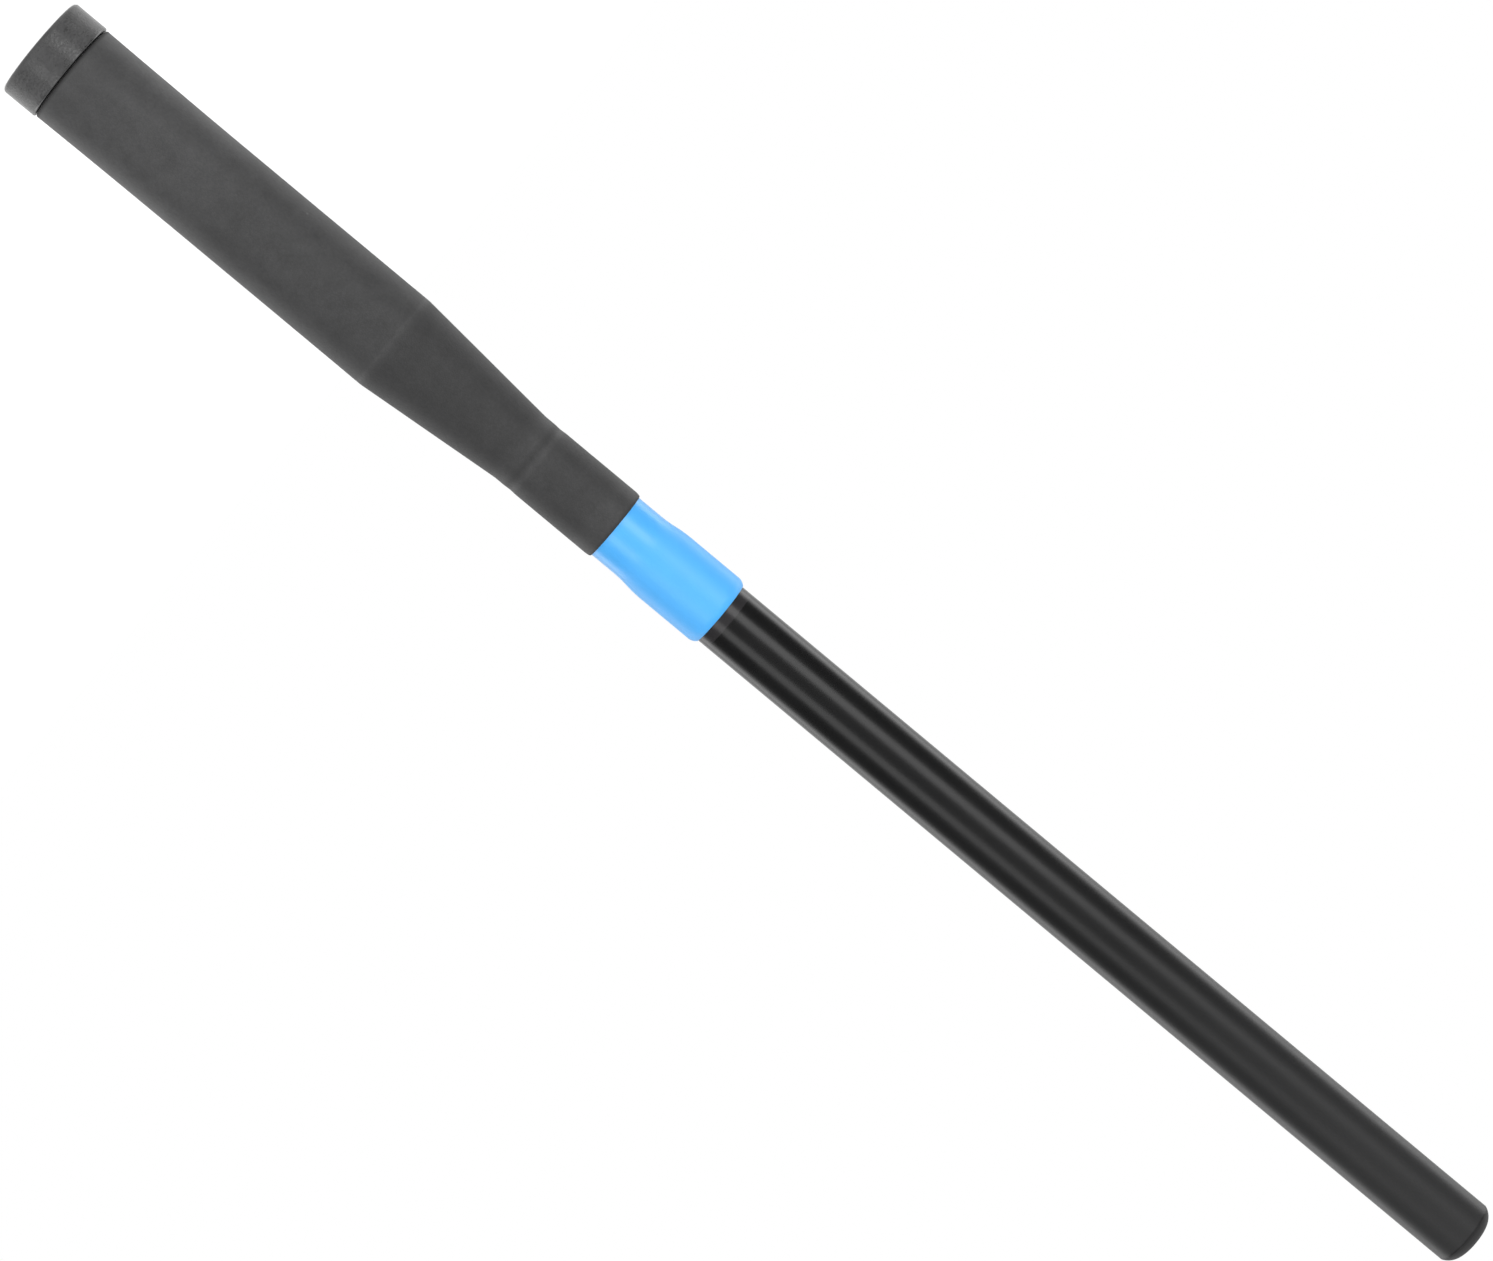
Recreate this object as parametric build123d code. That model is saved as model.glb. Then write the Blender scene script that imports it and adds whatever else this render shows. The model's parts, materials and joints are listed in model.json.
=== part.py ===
from build123d import *
import os

# Swing trainer stick: a foam-covered barrel, a cam collar and a straight handle tube.
#
# A fluted steel striker slides in the barrel between an anvil at the head and a magnet at the neck.
# Turning the collar draws the magnet back from the striker's stop, so the collar sets how fast the
# stick has to be swung before the striker lets go and clicks on the anvil.
#
# The stick stands on its head: its axis is +Z, the bumper's face lies at z = 0 and the butt is on top.
# At rest the striker lies on the anvil and the magnet is forward, at its strongest setting.
# All sizes are in millimetres and degrees.

# ---- Fits
GLUE = 0.05               # radial glue line round a piece that is bonded into another
RUNNING = 0.08            # radial clearance of a piece that turns or slides in another
FREE = 0.3                # clearance between faces that pass each other
SEAT_GAP = 0.2            # air between the resting striker and the anvil

# ---- Foam bumper cap
BUMPER_D = 41.6
BUMPER_H = 15.2
BUMPER_EDGE_R = 1.6
BUMPER_BACK_CHAMFER = 0.6

# ---- Barrel tube
BARREL_D = 37.2
BARREL_WALL = 2.0
BARREL_LEN = 152.3
TUBE_CHAMFER = 0.5

# ---- Head plug and anvil
STUB_D = 16.0             # stub that locates the bumper
STUB_H = 8.0
PLUG_FLANGE_T = 2.0
PLUG_FLOOR_T = 4.0
PLUG_SPIGOT_LEN = 13.0
MOULDED_WALL = 2.4        # wall of the head plug's and the reducer's spigots and of the reducer's cone
RIB_T = 1.6
RIB_COUNT = 6
ANVIL_T = 5.0
ANVIL_CLEAR = 0.2
ANVIL_SCREW_D = 5.0
ANVIL_SCREW_LEN = 16.0
ANVIL_SCREW_HEAD_D = 9.6
ANVIL_SCREW_HEX = 3.0

# ---- Drive pins, flush with the wall they go through
PIN_D = 3.0
PIN_COUNT = 3
HEAD_PIN_UP = 7.0         # above the barrel's lower end
REDUCER_PIN_DOWN = 9.5    # below the barrel's upper end
SPINE_PIN_DOWN = 10.0     # below the reducer's upper end
HANDLE_PIN_UP = 6.2       # above the handle tube's lower end

# ---- Striker
STRIKER_D = 31.0
STRIKER_LEN = 42.0
STRIKER_CHAMFER = 1.0
HAMMER_FACE_D = 20.0
HAMMER_FACE_H = 1.0
FLUTE_R = 2.2
FLUTE_COUNT = 6
GUIDE_RING_W = 5.0
GUIDE_GROOVE_DEPTH = 1.2
GUIDE_RING_INSET = 4.0    # from each end of the striker
GUIDE_RING_SPLIT = 2.0

# ---- Reducer, from the barrel down to the neck
SPIGOT_LEN = 19.5
TAPER_LEN = 59.5
NECK_D = 26.6
NECK_LEN = 42.6
HOLD_GROOVE_UP = 7.0      # middle of the groove that holds the sleeve, above the end of the taper
HOLD_GROOVE_W = 6.0
HOLD_GROOVE_DEPTH = 0.15
GUIDE_BORE = 18.0         # bore that the magnet cup and the cam follower slide in
GUIDE_WALL = 1.8
STOP_WASHER_T = 2.5
STOP_WASHER_CLEAR = 0.6   # round the magnet cup

# ---- Magnet carrier
POLE_SET_BACK = 0.5       # pole face behind the striker's stop
MAGNET_CUP_H = 8.0
MAGNET_CUP_WALL = 1.9
MAGNET_T = 5.0
MAGNET_SCREW_D = 3.0
MAGNET_SCREW_LEN = 14.0
MAGNET_SCREW_HEAD_D = 6.0
MAGNET_SCREW_HEX = 2.0
PUSH_ROD_D = 8.0
ROD_SEAT = 7.0            # depth of the push rod in the cam follower
FOLLOWER_LEN = 20.0
CAM_PIN_D = 3.0
CAM_PIN_REACH = 1.4       # how far the pin stands out of the spine on each side
PIN_SLOT_CLEAR = 0.15

# ---- Spine tube
SPINE_LEN = 140.0
SPINE_SEAT = 40.0         # length held in the reducer's neck

# ---- Adjuster collar
COLLAR_LEN = 51.5
COLLAR_BODY_D = 29.0
COLLAR_NECK_STEP = 1.0     # the collar's neck below the foam's surface
COLLAR_NECK_LEN = 12.0
COLLAR_SWELL_LEN = 14.0    # over which the neck swells to the body
COLLAR_MOUTH_ROUND = 3.2   # length of the collar's rounded mouth
COLLAR_MOUTH_DEPTH = 12.5
CAM_TURN = 120.0          # how far the collar turns
CAM_STROKE = 6.0          # how far that draws the magnet back
CAM_PIN_UP = 28.5         # resting cam pin above the collar's lower end
CAM_POCKET_CLEAR = 0.1    # more room at the groove's ends, so that the pin drops into them
THRUST_WASHER_T = 0.8
THRUST_GAP = 0.1
DRAG_RING_W = 1.6
DRAG_RING_DEPTH = 0.9
DRAG_RING_GAP = 0.05
DRAG_RING_PITCH = 4.0
DRAG_RING_UP = 5.0        # first ring above the collar's lower end
DRAG_RING_COUNT = 2
MOUTH_BUSH_WALL = 1.05
MOUTH_BUSH_LEN = 9.0
MOUTH_BUSH_INSET = 1.0    # height of the lip above the bush

# ---- Handle tube and butt plug
HANDLE_D = 25.4
HANDLE_WALL = 1.65
HANDLE_LEN = 366.0
HANDLE_SEAT_CUT = 0.5     # turned off the tube's radius where the collar's bush runs
BUTT_LEN = 18.0
BUTT_WALL = 2.0
BUTT_DOME_H = 4.3
BUTT_FLAT_D = 13.0
BARB_COUNT = 4
BARB_H = 0.6

# ---- Foam sleeve
SKIN = 1.25
FLARE = 0.45              # growth of the sleeve's radius next to the bumper
FLARE_LEN = 80.0
SLEEVE_OVERHANG = 2.5     # past the reducer, over the collar's neck
SLEEVE_END_CHAMFER = 0.5

# ---- Heights that follow
COLLAR_SHOULDER_UP = COLLAR_LEN - COLLAR_MOUTH_DEPTH   # above the collar's lower end
Z_BARREL = BUMPER_H + PLUG_FLANGE_T
Z_TAPER = Z_BARREL + BARREL_LEN
Z_NECK = Z_TAPER + TAPER_LEN
Z_NECK_END = Z_NECK + NECK_LEN
Z_PLUG_TOP = Z_BARREL + PLUG_SPIGOT_LEN
Z_ANVIL_TOP = Z_PLUG_TOP + ANVIL_T
Z_STRIKER = Z_ANVIL_TOP + SEAT_GAP
Z_SPIGOT = Z_TAPER - SPIGOT_LEN
Z_STOP = Z_SPIGOT - STOP_WASHER_T
Z_POLE = Z_STOP + POLE_SET_BACK
Z_SPINE = Z_NECK_END - SPINE_SEAT
Z_COLLAR = Z_NECK_END + THRUST_WASHER_T + THRUST_GAP
Z_COLLAR_TOP = Z_COLLAR + COLLAR_LEN
Z_SHOULDER = Z_COLLAR + COLLAR_SHOULDER_UP
Z_CAM_PIN = Z_COLLAR + CAM_PIN_UP
Z_FOLLOWER = Z_CAM_PIN - FOLLOWER_LEN / 2
Z_HANDLE = Z_SHOULDER + FREE
Z_HANDLE_TOP = Z_HANDLE + HANDLE_LEN
Z_BUTT = Z_HANDLE_TOP + BUTT_DOME_H

# ---- Radii that follow
BARREL_R = BARREL_D / 2
BARREL_BORE_R = BARREL_R - BARREL_WALL
SPIGOT_R = BARREL_BORE_R - GLUE
NECK_R = NECK_D / 2
GUIDE_R = GUIDE_BORE / 2
GUIDE_TUBE_R = GUIDE_R + GUIDE_WALL
HANDLE_R = HANDLE_D / 2
HANDLE_BORE_R = HANDLE_R - HANDLE_WALL
HANDLE_SEAT_R = HANDLE_R - HANDLE_SEAT_CUT
SPINE_R = HANDLE_BORE_R - GLUE
COLLAR_NECK_R = NECK_R + SKIN - COLLAR_NECK_STEP
COLLAR_BODY_R = COLLAR_BODY_D / 2
COLLAR_BORE_R = SPINE_R + RUNNING
MOUTH_LIP_R = HANDLE_R + FREE
CAM_PIN_TIP_R = SPINE_R + CAM_PIN_REACH
CAM_GROOVE_R = CAM_PIN_TIP_R + FREE
MOUTH_BORE_R = CAM_GROOVE_R + 2 * PIN_SLOT_CLEAR


# ---- Helpers
def turned(*outline):
    """Turn a closed outline of (radius, height) points about the stick's axis."""
    wire = Polyline(*[(r, 0, z) for r, z in outline], close=True)
    return revolve(make_face(wire), Axis.Z)


def tube(outer_r, inner_r, low, high):
    """A plain ring or tube between two heights."""
    return turned((inner_r, low), (outer_r, low), (outer_r, high), (inner_r, high))


def rod(radius, low, high):
    """A solid round bar on the axis between two heights."""
    return turned((0, low), (radius, low), (radius, high), (0, high))


def radial_bars(radius, inner_r, outer_r, height, count, first=0.0):
    """Round bars that point outward from the axis, evenly spaced at one height."""
    bar = Plane.YZ.offset(inner_r) * Pos(0, height) * Circle(radius)
    bar = extrude(bar, outer_r - inner_r)
    return [Rot(Z=first + 360 * i / count) * bar for i in range(count)]


def ribs(inner_r, outer_r, low, high):
    """Thin walls that point outward from the axis, set halfway between the drive pins."""
    rib = Pos((inner_r + outer_r) / 2, 0, (low + high) / 2) * Box(outer_r - inner_r, RIB_T, high - low)
    return [Rot(Z=360 * (i + 0.5) / RIB_COUNT) * rib for i in range(RIB_COUNT)]


def rims(shape, radius, height):
    """The round edges of one radius that lie at one height."""
    return [
        edge for edge in shape.edges().filter_by(GeomType.CIRCLE)
        if abs(edge.radius - radius) < 1e-3 and abs(edge.center(CenterOf.BOUNDING_BOX).Z - height) < 1e-3
    ]


def countersunk_screw(shank_r, head_r, length, hex_across, head_z, into):
    """A screw with its flat head at head_z, running along +Z (into = 1) or -Z (into = -1)."""
    head_h = head_r - shank_r
    body = turned(
        (0, head_z), (head_r, head_z), (shank_r, head_z + into * head_h),
        (shank_r, head_z + into * length), (0, head_z + into * length),
    )
    hex_depth = 0.8 * head_h
    socket = extrude(Pos(0, 0, head_z) * RegularPolygon(hex_across / 2, 6, major_radius=False),
                     amount=hex_depth, dir=(0, 0, into))
    return body - socket


def countersunk_hole(shank_r, head_r, head_z, into, length):
    """The hole that such a screw fits in."""
    head_h = head_r - shank_r
    return turned(
        (0, head_z), (head_r, head_z), (shank_r, head_z + into * head_h),
        (shank_r, head_z + into * length), (0, head_z + into * length),
    )


# ---- Head end
def bumper_cap():
    cap = rod(BUMPER_D / 2, 0, BUMPER_H)
    cap = fillet(rims(cap, BUMPER_D / 2, 0), BUMPER_EDGE_R)
    cap = chamfer(rims(cap, BUMPER_D / 2, BUMPER_H), BUMPER_BACK_CHAMFER)
    return cap - rod(STUB_D / 2 + GLUE, BUMPER_H - STUB_H - GLUE, BUMPER_H)


def head_plug():
    plug = turned(
        (0, BUMPER_H - STUB_H), (STUB_D / 2, BUMPER_H - STUB_H), (STUB_D / 2, BUMPER_H),
        (BARREL_R, BUMPER_H), (BARREL_R, Z_BARREL), (SPIGOT_R, Z_BARREL),
        (SPIGOT_R, Z_PLUG_TOP), (0, Z_PLUG_TOP),
    )
    boss_r = ANVIL_SCREW_D / 2 + MOULDED_WALL + 1
    pocket_r = SPIGOT_R - MOULDED_WALL
    floor_z = BUMPER_H + PLUG_FLOOR_T
    pocket = tube(pocket_r, boss_r, floor_z, Z_PLUG_TOP)
    for rib in ribs(boss_r - 0.5, pocket_r + 0.5, floor_z, Z_PLUG_TOP):
        pocket -= rib
    plug -= pocket
    plug -= rod(ANVIL_SCREW_D / 2 + GLUE, Z_ANVIL_TOP - ANVIL_SCREW_LEN - GLUE, Z_PLUG_TOP)
    plug = chamfer(rims(plug, SPIGOT_R, Z_PLUG_TOP), TUBE_CHAMFER)
    for hole in drive_pins(Z_BARREL + HEAD_PIN_UP, pocket_r, SPIGOT_R + 1, PIN_COUNT, GLUE):
        plug -= hole
    return plug


def anvil_plate():
    plate_r = BARREL_BORE_R - ANVIL_CLEAR
    plate = rod(plate_r, Z_PLUG_TOP, Z_ANVIL_TOP)
    plate = chamfer(rims(plate, plate_r, Z_ANVIL_TOP), TUBE_CHAMFER)
    return plate - countersunk_hole(
        ANVIL_SCREW_D / 2 + GLUE, ANVIL_SCREW_HEAD_D / 2 + GLUE, Z_ANVIL_TOP, -1, ANVIL_SCREW_LEN)


def anvil_screw():
    return countersunk_screw(
        ANVIL_SCREW_D / 2, ANVIL_SCREW_HEAD_D / 2, ANVIL_SCREW_LEN, ANVIL_SCREW_HEX, Z_ANVIL_TOP, -1)


def drive_pins(height, inner_r, outer_r, count, clearance=0.0):
    """A ring of drive pins, or the holes for them when given a clearance."""
    return radial_bars(PIN_D / 2 + clearance, inner_r, outer_r, height, count)


def head_plug_pins():
    return drive_pins(Z_BARREL + HEAD_PIN_UP, SPIGOT_R - MOULDED_WALL, BARREL_R - GLUE, PIN_COUNT)


def reducer_pins():
    return drive_pins(Z_TAPER - REDUCER_PIN_DOWN, SPIGOT_R - MOULDED_WALL, BARREL_R - GLUE, PIN_COUNT)


# ---- Barrel and striker
def barrel_tube():
    barrel = tube(BARREL_R, BARREL_BORE_R, Z_BARREL, Z_TAPER)
    for end in (Z_BARREL, Z_TAPER):
        barrel = chamfer(rims(barrel, BARREL_BORE_R, end), TUBE_CHAMFER)
    for height in (Z_BARREL + HEAD_PIN_UP, Z_TAPER - REDUCER_PIN_DOWN):
        for hole in drive_pins(height, BARREL_BORE_R - 1, BARREL_R + 1, PIN_COUNT, GLUE):
            barrel -= hole
    return barrel


def guide_ring_heights():
    """Lower edges of the two guide rings on the striker."""
    low = Z_STRIKER + HAMMER_FACE_H + GUIDE_RING_INSET
    high = Z_STRIKER + STRIKER_LEN - GUIDE_RING_INSET - GUIDE_RING_W
    return low, high


def striker_weight():
    radius = STRIKER_D / 2
    low = Z_STRIKER + HAMMER_FACE_H
    high = Z_STRIKER + STRIKER_LEN
    weight = rod(radius, low, high)
    weight = chamfer(rims(weight, radius, low) + rims(weight, radius, high), STRIKER_CHAMFER)
    weight += rod(HAMMER_FACE_D / 2, Z_STRIKER, low)
    flute = Pos(radius, 0, low) * Cylinder(FLUTE_R, high - low, align=(Align.CENTER, Align.CENTER, Align.MIN))
    for i in range(FLUTE_COUNT):
        weight -= Rot(Z=360 * i / FLUTE_COUNT) * flute
    for ring_z in guide_ring_heights():
        weight -= tube(radius + 1, radius - GUIDE_GROOVE_DEPTH, ring_z - GLUE, ring_z + GUIDE_RING_W + GLUE)
    return weight


def striker_guide_rings():
    """Split nylon rings: the split and the flutes let the air past the striker."""
    rings = []
    outer_r = BARREL_BORE_R - RUNNING
    inner_r = STRIKER_D / 2 - GUIDE_GROOVE_DEPTH + GLUE
    for ring_z in guide_ring_heights():
        split = Pos(outer_r, 0, ring_z) * Rot(X=30) * Box(outer_r, GUIDE_RING_SPLIT, 4 * GUIDE_RING_W)
        rings.append(tube(outer_r, inner_r, ring_z, ring_z + GUIDE_RING_W) - split)
    return rings


def stop_washer():
    return tube(SPIGOT_R - ANVIL_CLEAR, GUIDE_R + STOP_WASHER_CLEAR, Z_STOP, Z_SPIGOT)


# ---- Reducer
def reducer_outline(offset=0.0, end_z=Z_NECK_END):
    """Outside of the reducer above the barrel, moved outward by offset, as (radius, height) points."""
    groove_z = Z_NECK + HOLD_GROOVE_UP
    return [
        (BARREL_R + offset, Z_TAPER),
        (NECK_R + offset, Z_NECK),
        (NECK_R + offset, groove_z - HOLD_GROOVE_W / 2),
        (NECK_R - HOLD_GROOVE_DEPTH + offset, groove_z),
        (NECK_R + offset, groove_z + HOLD_GROOVE_W / 2),
        (NECK_R + offset, end_z),
    ]


def reducer_cone():
    seat_r = SPINE_R + GLUE
    body = turned(
        (GUIDE_R, Z_SPIGOT), (SPIGOT_R, Z_SPIGOT), (SPIGOT_R, Z_TAPER), *reducer_outline(),
        (seat_r, Z_NECK_END), (seat_r, Z_SPINE), (GUIDE_R, Z_SPINE),
    )
    body = chamfer(rims(body, SPIGOT_R, Z_SPIGOT), TUBE_CHAMFER)
    pocket_r = SPIGOT_R - MOULDED_WALL
    slope = (BARREL_R - NECK_R) / TAPER_LEN
    knee_z = Z_TAPER + (BARREL_R - MOULDED_WALL - pocket_r) / slope
    floor_z = Z_NECK - 3 * MOULDED_WALL
    floor_r = NECK_R + slope * (Z_NECK - floor_z) - MOULDED_WALL
    pocket = turned(
        (GUIDE_TUBE_R, Z_SPIGOT), (pocket_r, Z_SPIGOT), (pocket_r, knee_z),
        (floor_r, floor_z), (GUIDE_TUBE_R, floor_z),
    )
    for rib in ribs(GUIDE_TUBE_R - 0.5, pocket_r + 0.5, Z_SPIGOT, floor_z):
        pocket -= rib
    body -= pocket
    for hole in drive_pins(Z_TAPER - REDUCER_PIN_DOWN, pocket_r, SPIGOT_R + 1, PIN_COUNT, GLUE):
        body -= hole
    for hole in drive_pins(Z_NECK_END - SPINE_PIN_DOWN, seat_r - 1, NECK_R + 1, 2, GLUE):
        body -= hole
    return body


# ---- Magnet carrier
def magnet_cup():
    outer_r = GUIDE_R - RUNNING
    cup = rod(outer_r, Z_POLE, Z_POLE + MAGNET_CUP_H)
    cup = chamfer(rims(cup, outer_r, Z_POLE + MAGNET_CUP_H), TUBE_CHAMFER)
    cup -= rod(outer_r - MAGNET_CUP_WALL, Z_POLE, Z_POLE + MAGNET_T)
    return cup - rod(MAGNET_SCREW_D / 2 + GLUE, Z_POLE, Z_POLE + MAGNET_CUP_H)


def magnet():
    outer_r = GUIDE_R - RUNNING - MAGNET_CUP_WALL - GLUE
    disc = rod(outer_r, Z_POLE, Z_POLE + MAGNET_T)
    return disc - countersunk_hole(
        MAGNET_SCREW_D / 2 + GLUE, MAGNET_SCREW_HEAD_D / 2 + GLUE, Z_POLE, 1, MAGNET_SCREW_LEN)


def magnet_screw():
    return countersunk_screw(
        MAGNET_SCREW_D / 2, MAGNET_SCREW_HEAD_D / 2, MAGNET_SCREW_LEN, MAGNET_SCREW_HEX, Z_POLE, 1)


def push_rod():
    low = Z_POLE + MAGNET_CUP_H
    bar = rod(PUSH_ROD_D / 2, low, Z_FOLLOWER + ROD_SEAT)
    bar = chamfer(rims(bar, PUSH_ROD_D / 2, Z_FOLLOWER + ROD_SEAT), TUBE_CHAMFER)
    return bar - rod(MAGNET_SCREW_D / 2 + GLUE, low, Z_POLE + MAGNET_SCREW_LEN + 1)


def cam_follower():
    radius = GUIDE_R - RUNNING
    top = Z_FOLLOWER + FOLLOWER_LEN
    block = rod(radius, Z_FOLLOWER, top)
    block = chamfer(rims(block, radius, Z_FOLLOWER) + rims(block, radius, top), TUBE_CHAMFER)
    block -= rod(PUSH_ROD_D / 2 + GLUE, Z_FOLLOWER, Z_FOLLOWER + ROD_SEAT + GLUE)
    return block - cam_pin(GLUE)


def cam_pin(clearance=0.0):
    """The cross pin through the follower, which reaches into both cam grooves of the collar."""
    pin = Plane.YZ.offset(-CAM_PIN_TIP_R) * Pos(0, Z_CAM_PIN) * Circle(CAM_PIN_D / 2 + clearance)
    return extrude(pin, 2 * CAM_PIN_TIP_R)


# ---- Spine tube
def drag_ring_heights():
    """Middles of the drag rings."""
    return [Z_COLLAR + DRAG_RING_UP + i * DRAG_RING_PITCH for i in range(DRAG_RING_COUNT)]


def spine_tube():
    top = Z_SPINE + SPINE_LEN
    spine = tube(SPINE_R, GUIDE_R, Z_SPINE, top)
    for end in (Z_SPINE, top):
        spine = chamfer(rims(spine, SPINE_R, end), TUBE_CHAMFER)
    slot_w = CAM_PIN_D + 2 * PIN_SLOT_CLEAR
    slot_len = CAM_STROKE + slot_w + 2 * PIN_SLOT_CLEAR
    slot = Plane.YZ * Pos(0, Z_CAM_PIN + CAM_STROKE / 2) * SlotOverall(slot_len, slot_w, rotation=90)
    spine -= extrude(slot, SPINE_R + 1, both=True)
    for height in drag_ring_heights():
        half = DRAG_RING_W / 2 + GLUE
        spine -= tube(SPINE_R + 1, SPINE_R - DRAG_RING_DEPTH, height - half, height + half)
    for hole in drive_pins(Z_NECK_END - SPINE_PIN_DOWN, GUIDE_R - 1, SPINE_R + 1, 2, GLUE):
        spine -= hole
    for hole in drive_pins(Z_HANDLE + HANDLE_PIN_UP, GUIDE_R - 1, SPINE_R + 1, 2, GLUE):
        spine -= hole
    return spine


def spine_pins():
    return drive_pins(Z_NECK_END - SPINE_PIN_DOWN, GUIDE_R, NECK_R - GLUE, 2)


def handle_pins():
    return drive_pins(Z_HANDLE + HANDLE_PIN_UP, GUIDE_R, HANDLE_SEAT_R - GLUE, 2)


def drag_rings():
    """Square-section rubber rings that the collar's neck turns on."""
    rings = []
    inner_r = SPINE_R - DRAG_RING_DEPTH + GLUE
    outer_r = COLLAR_BORE_R - DRAG_RING_GAP
    for height in drag_ring_heights():
        low, high = height - DRAG_RING_W / 2, height + DRAG_RING_W / 2
        rings.append(tube(outer_r, inner_r, low, high))
    return rings


# ---- Adjuster collar
def thrust_washer():
    return tube(NECK_R - FREE, SPINE_R + RUNNING, Z_NECK_END, Z_NECK_END + THRUST_WASHER_T)


def cam_groove():
    """One helical groove with a pocket at each end, and the slot where the pin enters it."""
    half_w = CAM_PIN_D / 2 + PIN_SLOT_CLEAR
    pocket_r = half_w + CAM_POCKET_CLEAR
    inner_r = COLLAR_BORE_R - 0.5
    depth = CAM_GROOVE_R - inner_r
    mid_r = inner_r + depth / 2
    lead = CAM_STROKE * 360 / CAM_TURN
    groove_top = CAM_PIN_UP + CAM_STROKE
    path = Pos(0, 0, CAM_PIN_UP) * Helix(lead, CAM_STROKE, mid_r, lefthand=True)
    start = Plane(origin=path @ 0, x_dir=(1, 0, 0), z_dir=path % 0)
    groove = sweep(start * Rectangle(depth, 2 * half_w), path=path, is_frenet=True)
    groove += radial_bars(pocket_r, inner_r, CAM_GROOVE_R, CAM_PIN_UP, 1)[0]
    groove += radial_bars(pocket_r, inner_r, CAM_GROOVE_R, groove_top, 1, first=-CAM_TURN)[0]
    entry_len = COLLAR_SHOULDER_UP + FREE - groove_top
    entry = Pos(mid_r, 0, groove_top + entry_len / 2) * Box(depth, 2 * half_w, entry_len)
    groove += Rot(Z=-CAM_TURN) * entry
    return groove


def adjuster_collar():
    swell_z = COLLAR_NECK_LEN
    body_z = swell_z + COLLAR_SWELL_LEN
    middle = ((COLLAR_NECK_R + COLLAR_BODY_R) / 2, 0, (swell_z + body_z) / 2)
    bush_seat_r = HANDLE_SEAT_R + RUNNING + MOUTH_BUSH_WALL + GLUE
    bush_top = COLLAR_LEN - MOUTH_BUSH_INSET
    bush_low = bush_top - MOUTH_BUSH_LEN
    hollow = TangentArc((COLLAR_NECK_R, 0, swell_z), middle, tangent=(0, 0, 1))
    swell = TangentArc(middle, (COLLAR_BODY_R, 0, body_z), tangent=hollow % 1)
    round_z = COLLAR_LEN - COLLAR_MOUTH_ROUND
    rim = (MOUTH_LIP_R + 0.15 * (COLLAR_BODY_R - MOUTH_LIP_R), 0, COLLAR_LEN)
    body = Line((COLLAR_BODY_R, 0, body_z), (COLLAR_BODY_R, 0, round_z))
    mouth = TangentArc((COLLAR_BODY_R, 0, round_z), rim, tangent=(0, 0, 1))
    inside = Polyline(rim, *[(r, 0, z) for r, z in [
        (MOUTH_LIP_R, COLLAR_LEN), (MOUTH_LIP_R, bush_top), (bush_seat_r, bush_top),
        (bush_seat_r, bush_low), (MOUTH_BORE_R, bush_low), (MOUTH_BORE_R, COLLAR_SHOULDER_UP),
        (COLLAR_BORE_R, COLLAR_SHOULDER_UP), (COLLAR_BORE_R, 0), (COLLAR_NECK_R, 0),
        (COLLAR_NECK_R, swell_z),
    ]])
    outline = hollow.edges() + swell.edges() + body.edges() + mouth.edges() + inside.edges()
    collar = revolve(make_face(outline), Axis.Z)
    groove = cam_groove()
    for turn in (0, 180):
        collar -= Rot(Z=turn) * groove
    return Pos(0, 0, Z_COLLAR) * collar


def mouth_bush():
    """Thin split bush that the collar's mouth turns with on the handle tube."""
    inner_r = HANDLE_SEAT_R + RUNNING
    top = Z_COLLAR_TOP - MOUTH_BUSH_INSET
    bush = tube(inner_r + MOUTH_BUSH_WALL, inner_r, top - MOUTH_BUSH_LEN, top)
    split = Pos(-inner_r, 0, top - MOUTH_BUSH_LEN / 2) * Box(inner_r, MOUTH_BUSH_WALL, 2 * MOUTH_BUSH_LEN)
    return bush - split


# ---- Handle
def handle_tube():
    handle = turned(
        (HANDLE_BORE_R, Z_HANDLE), (HANDLE_SEAT_R, Z_HANDLE), (HANDLE_SEAT_R, Z_COLLAR_TOP),
        (HANDLE_R, Z_COLLAR_TOP), (HANDLE_R, Z_HANDLE_TOP), (HANDLE_BORE_R, Z_HANDLE_TOP),
    )
    handle = chamfer(rims(handle, HANDLE_BORE_R, Z_HANDLE), TUBE_CHAMFER)
    for hole in drive_pins(Z_HANDLE + HANDLE_PIN_UP, HANDLE_BORE_R - 1, HANDLE_R + 1, 2, GLUE):
        handle -= hole
    return handle


def butt_plug():
    """Domed plug: barbed inside the tube, with a dome that turns over to a small flat."""
    barb_r = HANDLE_BORE_R - GLUE
    bore_r = barb_r - BARB_H - BUTT_WALL
    low = Z_HANDLE_TOP - BUTT_LEN
    pitch = BUTT_LEN / BARB_COUNT
    barbs = [(barb_r - BARB_H, low)]
    for i in range(BARB_COUNT):
        barbs += [(barb_r, low + (i + 0.8) * pitch), (barb_r - BARB_H, low + (i + 1) * pitch)]
    flat_r = BUTT_FLAT_D / 2
    skirt = Polyline(*[(r, 0, z) for r, z in barbs], (HANDLE_R, 0, Z_HANDLE_TOP))
    dome = TangentArc((flat_r, 0, Z_BUTT), (HANDLE_R, 0, Z_HANDLE_TOP), tangent=(1, 0, 0))
    inside = Polyline(
        (flat_r, 0, Z_BUTT), (0, 0, Z_BUTT), (0, 0, Z_HANDLE_TOP), (bore_r, 0, Z_HANDLE_TOP),
        (bore_r, 0, low), (barb_r - BARB_H, 0, low),
    )
    return revolve(make_face(skirt.edges() + dome.edges() + inside.edges()), Axis.Z)


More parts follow.
